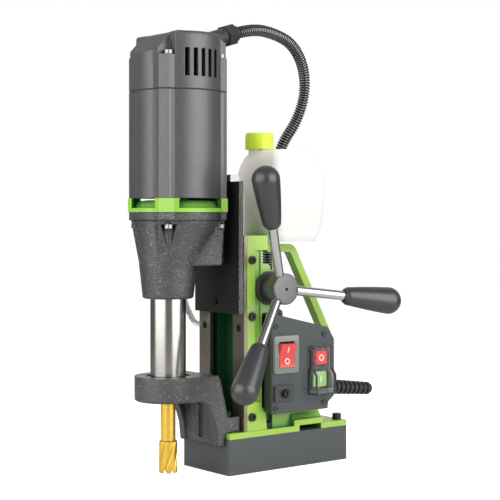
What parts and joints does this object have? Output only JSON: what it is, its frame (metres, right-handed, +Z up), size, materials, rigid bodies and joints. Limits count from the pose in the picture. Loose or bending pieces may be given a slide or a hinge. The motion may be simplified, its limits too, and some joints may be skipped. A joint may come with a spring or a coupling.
{
  "type": "magnetic drill press",
  "caption": "Magnet-base drilling machine: motor and gearbox on a rack-fed vertical slide over an electromagnet, with annular cutter, arbor support, capstan handle, switch box and coolant tank.",
  "frame": {"origin": "centre of the electromagnet's underside", "axes": "+Z up along the column; -Y towards the drilling side; +X towards the feed capstan and the switch panel"},
  "size_m": [0.1606, 0.2757, 0.4685],
  "materials": {
    "casting_green": "satin",
    "magnet_grey": "satin",
    "steel_ground": "ground",
    "steel_dark": "blackened",
    "screw_black": "blackened",
    "screw_bright": "bright",
    "casting_black": "textured paint",
    "gearbox_black": "textured paint",
    "motor_black": "satin",
    "plastic_green": "satin",
    "bronze": "turned",
    "chrome_arbor": "polished",
    "cutter_gold": "nitride coated",
    "knob_black": "semi gloss",
    "rod_steel": "polished",
    "box_black": "fine texture",
    "panel_grey": "satin",
    "rocker_red": "glossy",
    "button_red": "glossy",
    "button_green": "glossy",
    "guard_clear": "clear plastic",
    "hose_black": "satin",
    "tube_clear": "clear soft plastic",
    "tank_white": "translucent",
    "copper": "enamelled",
    "resin": "cast",
    "core_steel": "laminated",
    "board_green": "satin"
  },
  "bodies": {
    "frame": {"magnet_body": "magnet_grey", "magnet_coil": "copper", "magnet_potting": "resin", "column_frame": "casting_green", "guide_strips": "steel_ground", "guide_screws": "screw_black", "gib_strip": "bronze", "base_bolts": "screw_bright", "shaft_collar": "steel_dark", "arbor_support": "casting_black", "support_bush": "bronze", "control_housing": "box_black", "control_panel": "panel_grey", "panel_screws": "screw_black", "magnet_switch_frame": "box_black", "motor_switch_body": "box_black", "motor_switch_guard": "guard_clear", "fuse_holder": "box_black", "circuit_board": "board_green", "mains_bend_relief": "hose_black", "lower_conduit_fitting": "box_black", "carry_handle": "casting_green", "coolant_tank": "tank_white", "coolant_tap": "bronze", "conduit_hose": "hose_black", "coolant_tube": "tube_clear"},
    "carriage": {"slide_plate": "steel_dark", "slide_bar": "steel_ground", "slide_screws": "screw_black", "gear_rack": "steel_ground", "gearbox_housing": "gearbox_black", "coolant_nozzle": "bronze", "gear_plate": "gearbox_black", "outlet_ring": "plastic_green", "motor_housing": "motor_black", "motor_cap": "motor_black", "upper_conduit_fitting": "box_black", "motor_screws": "screw_bright", "field_stator": "core_steel", "brush_gear": "bronze", "ball_bearings": "screw_bright"},
    "capstan": {"pinion_shaft": "steel_ground", "capstan_hub": "casting_black", "capstan_rods": "rod_steel", "capstan_knobs": "knob_black"},
    "armature": {"armature_shaft": "steel_ground", "armature_core": "core_steel", "cooling_fan": "box_black"},
    "idler": {"idler_gear": "steel_ground"},
    "spindle": {"arbor": "chrome_arbor", "cutter_screws": "screw_black", "spindle_gear": "steel_ground", "annular_cutter": "cutter_gold"},
    "pilot": {"pilot_pin": "rod_steel"},
    "magnet_rocker": {"magnet_switch_rocker": "rocker_red"},
    "stop_push": {"stop_button": "button_red"},
    "start_push": {"start_button": "button_green"},
    "liner": {"cap_liner": "tank_white"},
    "cap": {"tank_cap": "plastic_green"},
    "tap_handle": {"tap_lever": "box_black"}
  },
  "joints": [
    {"name": "carriage_slide", "type": "slide", "parent": "frame", "child": "carriage", "axis": [0, 0, 1], "range_m": [-0.075, 0.01], "deforming": ["conduit_hose", "coolant_tube"]},
    {"name": "capstan_turn", "type": "hinge", "parent": "frame", "child": "capstan", "pos_m": [0, -0.0275, 0.1886], "axis": [1, 0, 0], "range_deg": [-370, 370]},
    {"name": "spindle_spin", "type": "hinge", "parent": "carriage", "child": "spindle", "pos_m": [0, -0.127, 0.1], "axis": [0, 0, 1], "continuous": true},
    {"name": "idler_spin", "type": "hinge", "parent": "carriage", "child": "idler", "pos_m": [0, -0.094, 0.23], "axis": [0, 0, 1], "continuous": true},
    {"name": "motor_spin", "type": "hinge", "parent": "carriage", "child": "armature", "pos_m": [0, -0.115, 0.3], "axis": [0, 0, 1], "continuous": true},
    {"name": "pilot_slide", "type": "slide", "parent": "spindle", "child": "pilot", "axis": [0, 0, 1], "range_m": [0, 0.025], "stiffness_N_per_m": 200, "springref_m": -0.01},
    {"name": "magnet_rocker_tilt", "type": "hinge", "parent": "frame", "child": "magnet_rocker", "pos_m": [0.0535, -0.019, 0.1207], "axis": [0, 1, 0], "range_deg": [-18, 0]},
    {"name": "stop_push", "type": "slide", "parent": "frame", "child": "stop_push", "axis": [1, 0, 0], "range_m": [-0.0025, 0], "stiffness_N_per_m": 400, "springref_m": 0.001},
    {"name": "start_push", "type": "slide", "parent": "frame", "child": "start_push", "axis": [1, 0, 0], "range_m": [-0.0025, 0], "stiffness_N_per_m": 400, "springref_m": 0.001},
    {"name": "cap_lift", "type": "slide", "parent": "frame", "child": "liner", "axis": [0, 0, 1], "range_m": [0, 0.009]},
    {"name": "cap_turn", "type": "hinge", "parent": "liner", "child": "cap", "pos_m": [-0.017, 0.004, 0.34], "axis": [0, 0, 1], "range_deg": [-10, 1090]},
    {"name": "tap_turn", "type": "hinge", "parent": "frame", "child": "tap_handle", "pos_m": [-0.026, 0.002, 0.227], "axis": [0, 1, 0], "range_deg": [-90, 0]}
  ],
  "couplings": [
    {"joint": "capstan_turn", "follows": "carriage_slide", "rad_per_m": -83.333},
    {"joint": "idler_spin", "follows": "spindle_spin", "ratio": -2.6667},
    {"joint": "motor_spin", "follows": "spindle_spin", "ratio": 13.333},
    {"joint": "cap_turn", "follows": "cap_lift", "rad_per_m": 2094.4}
  ]
}
